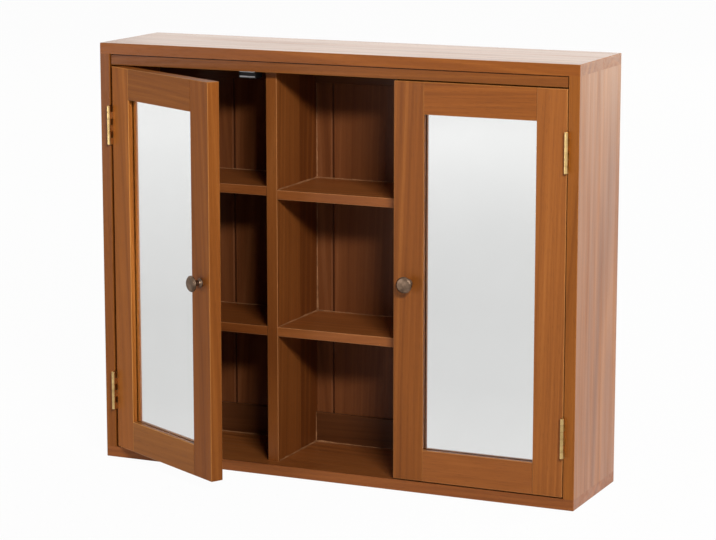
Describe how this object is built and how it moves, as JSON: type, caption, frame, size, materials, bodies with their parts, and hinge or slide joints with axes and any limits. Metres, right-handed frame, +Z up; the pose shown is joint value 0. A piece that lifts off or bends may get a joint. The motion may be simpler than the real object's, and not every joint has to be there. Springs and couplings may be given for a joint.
{
  "type": "mirror cabinet",
  "caption": "Wall-hung wooden mirror cabinet with framed mirror doors on butt hinges, an open middle bay, fixed shelves and turned metal knobs.",
  "frame": {"origin": "midway between the two wall screw holes, on the wall plane (rear face of the hanging rail)", "axes": "+X to the right seen from the front, +Y into the wall, +Z up"},
  "size_m": [0.65, 0.2717, 0.545],
  "materials": {
    "teak": "satin lacquer",
    "dowel_wood": "raw",
    "mirror_glass": "polished",
    "backing_board": "matt hardboard",
    "brass": "polished",
    "bronze": "antique satin",
    "zinc_steel": "zinc plated",
    "catch_plastic": "matt",
    "magnet": "matt"
  },
  "bodies": {
    "cabinet": {"top_board": "teak", "bottom_board": "teak", "left_side": "teak", "right_side": "teak", "left_divider": "teak", "right_divider": "teak", "top_rail": "teak", "hanging_rail": "teak", "lower_rear_rail": "teak", "back_board_1": "teak", "back_board_2": "teak", "back_board_3": "teak", "back_board_4": "teak", "back_board_5": "teak", "left_upper_shelf": "teak", "left_lower_shelf": "teak", "middle_upper_shelf": "teak", "middle_lower_shelf": "teak", "right_upper_shelf": "teak", "right_lower_shelf": "teak", "carcass_dowels": "dowel_wood", "carcass_screws": "brass", "left_upper_frame_leaf": "brass", "left_lower_frame_leaf": "brass", "right_upper_frame_leaf": "brass", "right_lower_frame_leaf": "brass", "hinge_pins": "brass", "left_catch_case": "catch_plastic", "right_catch_case": "catch_plastic", "catch_poles": "zinc_steel", "catch_magnets": "magnet"},
    "left_door": {"left_hinge_stile": "teak", "left_lock_stile": "teak", "left_door_top_rail": "teak", "left_door_bottom_rail": "teak", "left_mirror": "mirror_glass", "left_backing": "backing_board", "left_mirror_beads": "teak", "left_door_dowels": "dowel_wood", "left_door_screws": "brass", "left_upper_door_leaf": "brass", "left_lower_door_leaf": "brass", "left_knob": "bronze", "left_knob_screw": "zinc_steel", "left_strike_plate": "zinc_steel"},
    "right_door": {"right_hinge_stile": "teak", "right_lock_stile": "teak", "right_door_top_rail": "teak", "right_door_bottom_rail": "teak", "right_mirror": "mirror_glass", "right_backing": "backing_board", "right_mirror_beads": "teak", "right_door_dowels": "dowel_wood", "right_door_screws": "brass", "right_upper_door_leaf": "brass", "right_lower_door_leaf": "brass", "right_knob": "bronze", "right_knob_screw": "zinc_steel", "right_strike_plate": "zinc_steel"}
  },
  "joints": [
    {"name": "left_door_hinge", "type": "hinge", "parent": "cabinet", "child": "left_door", "pos_m": [-0.3105, -0.157, 0], "axis": [0, 0, -1], "range_deg": [-29.5, 150]},
    {"name": "right_door_hinge", "type": "hinge", "parent": "cabinet", "child": "right_door", "pos_m": [0.3105, -0.157, 0], "axis": [0, 0, 1], "range_deg": [0, 179.5]}
  ]
}
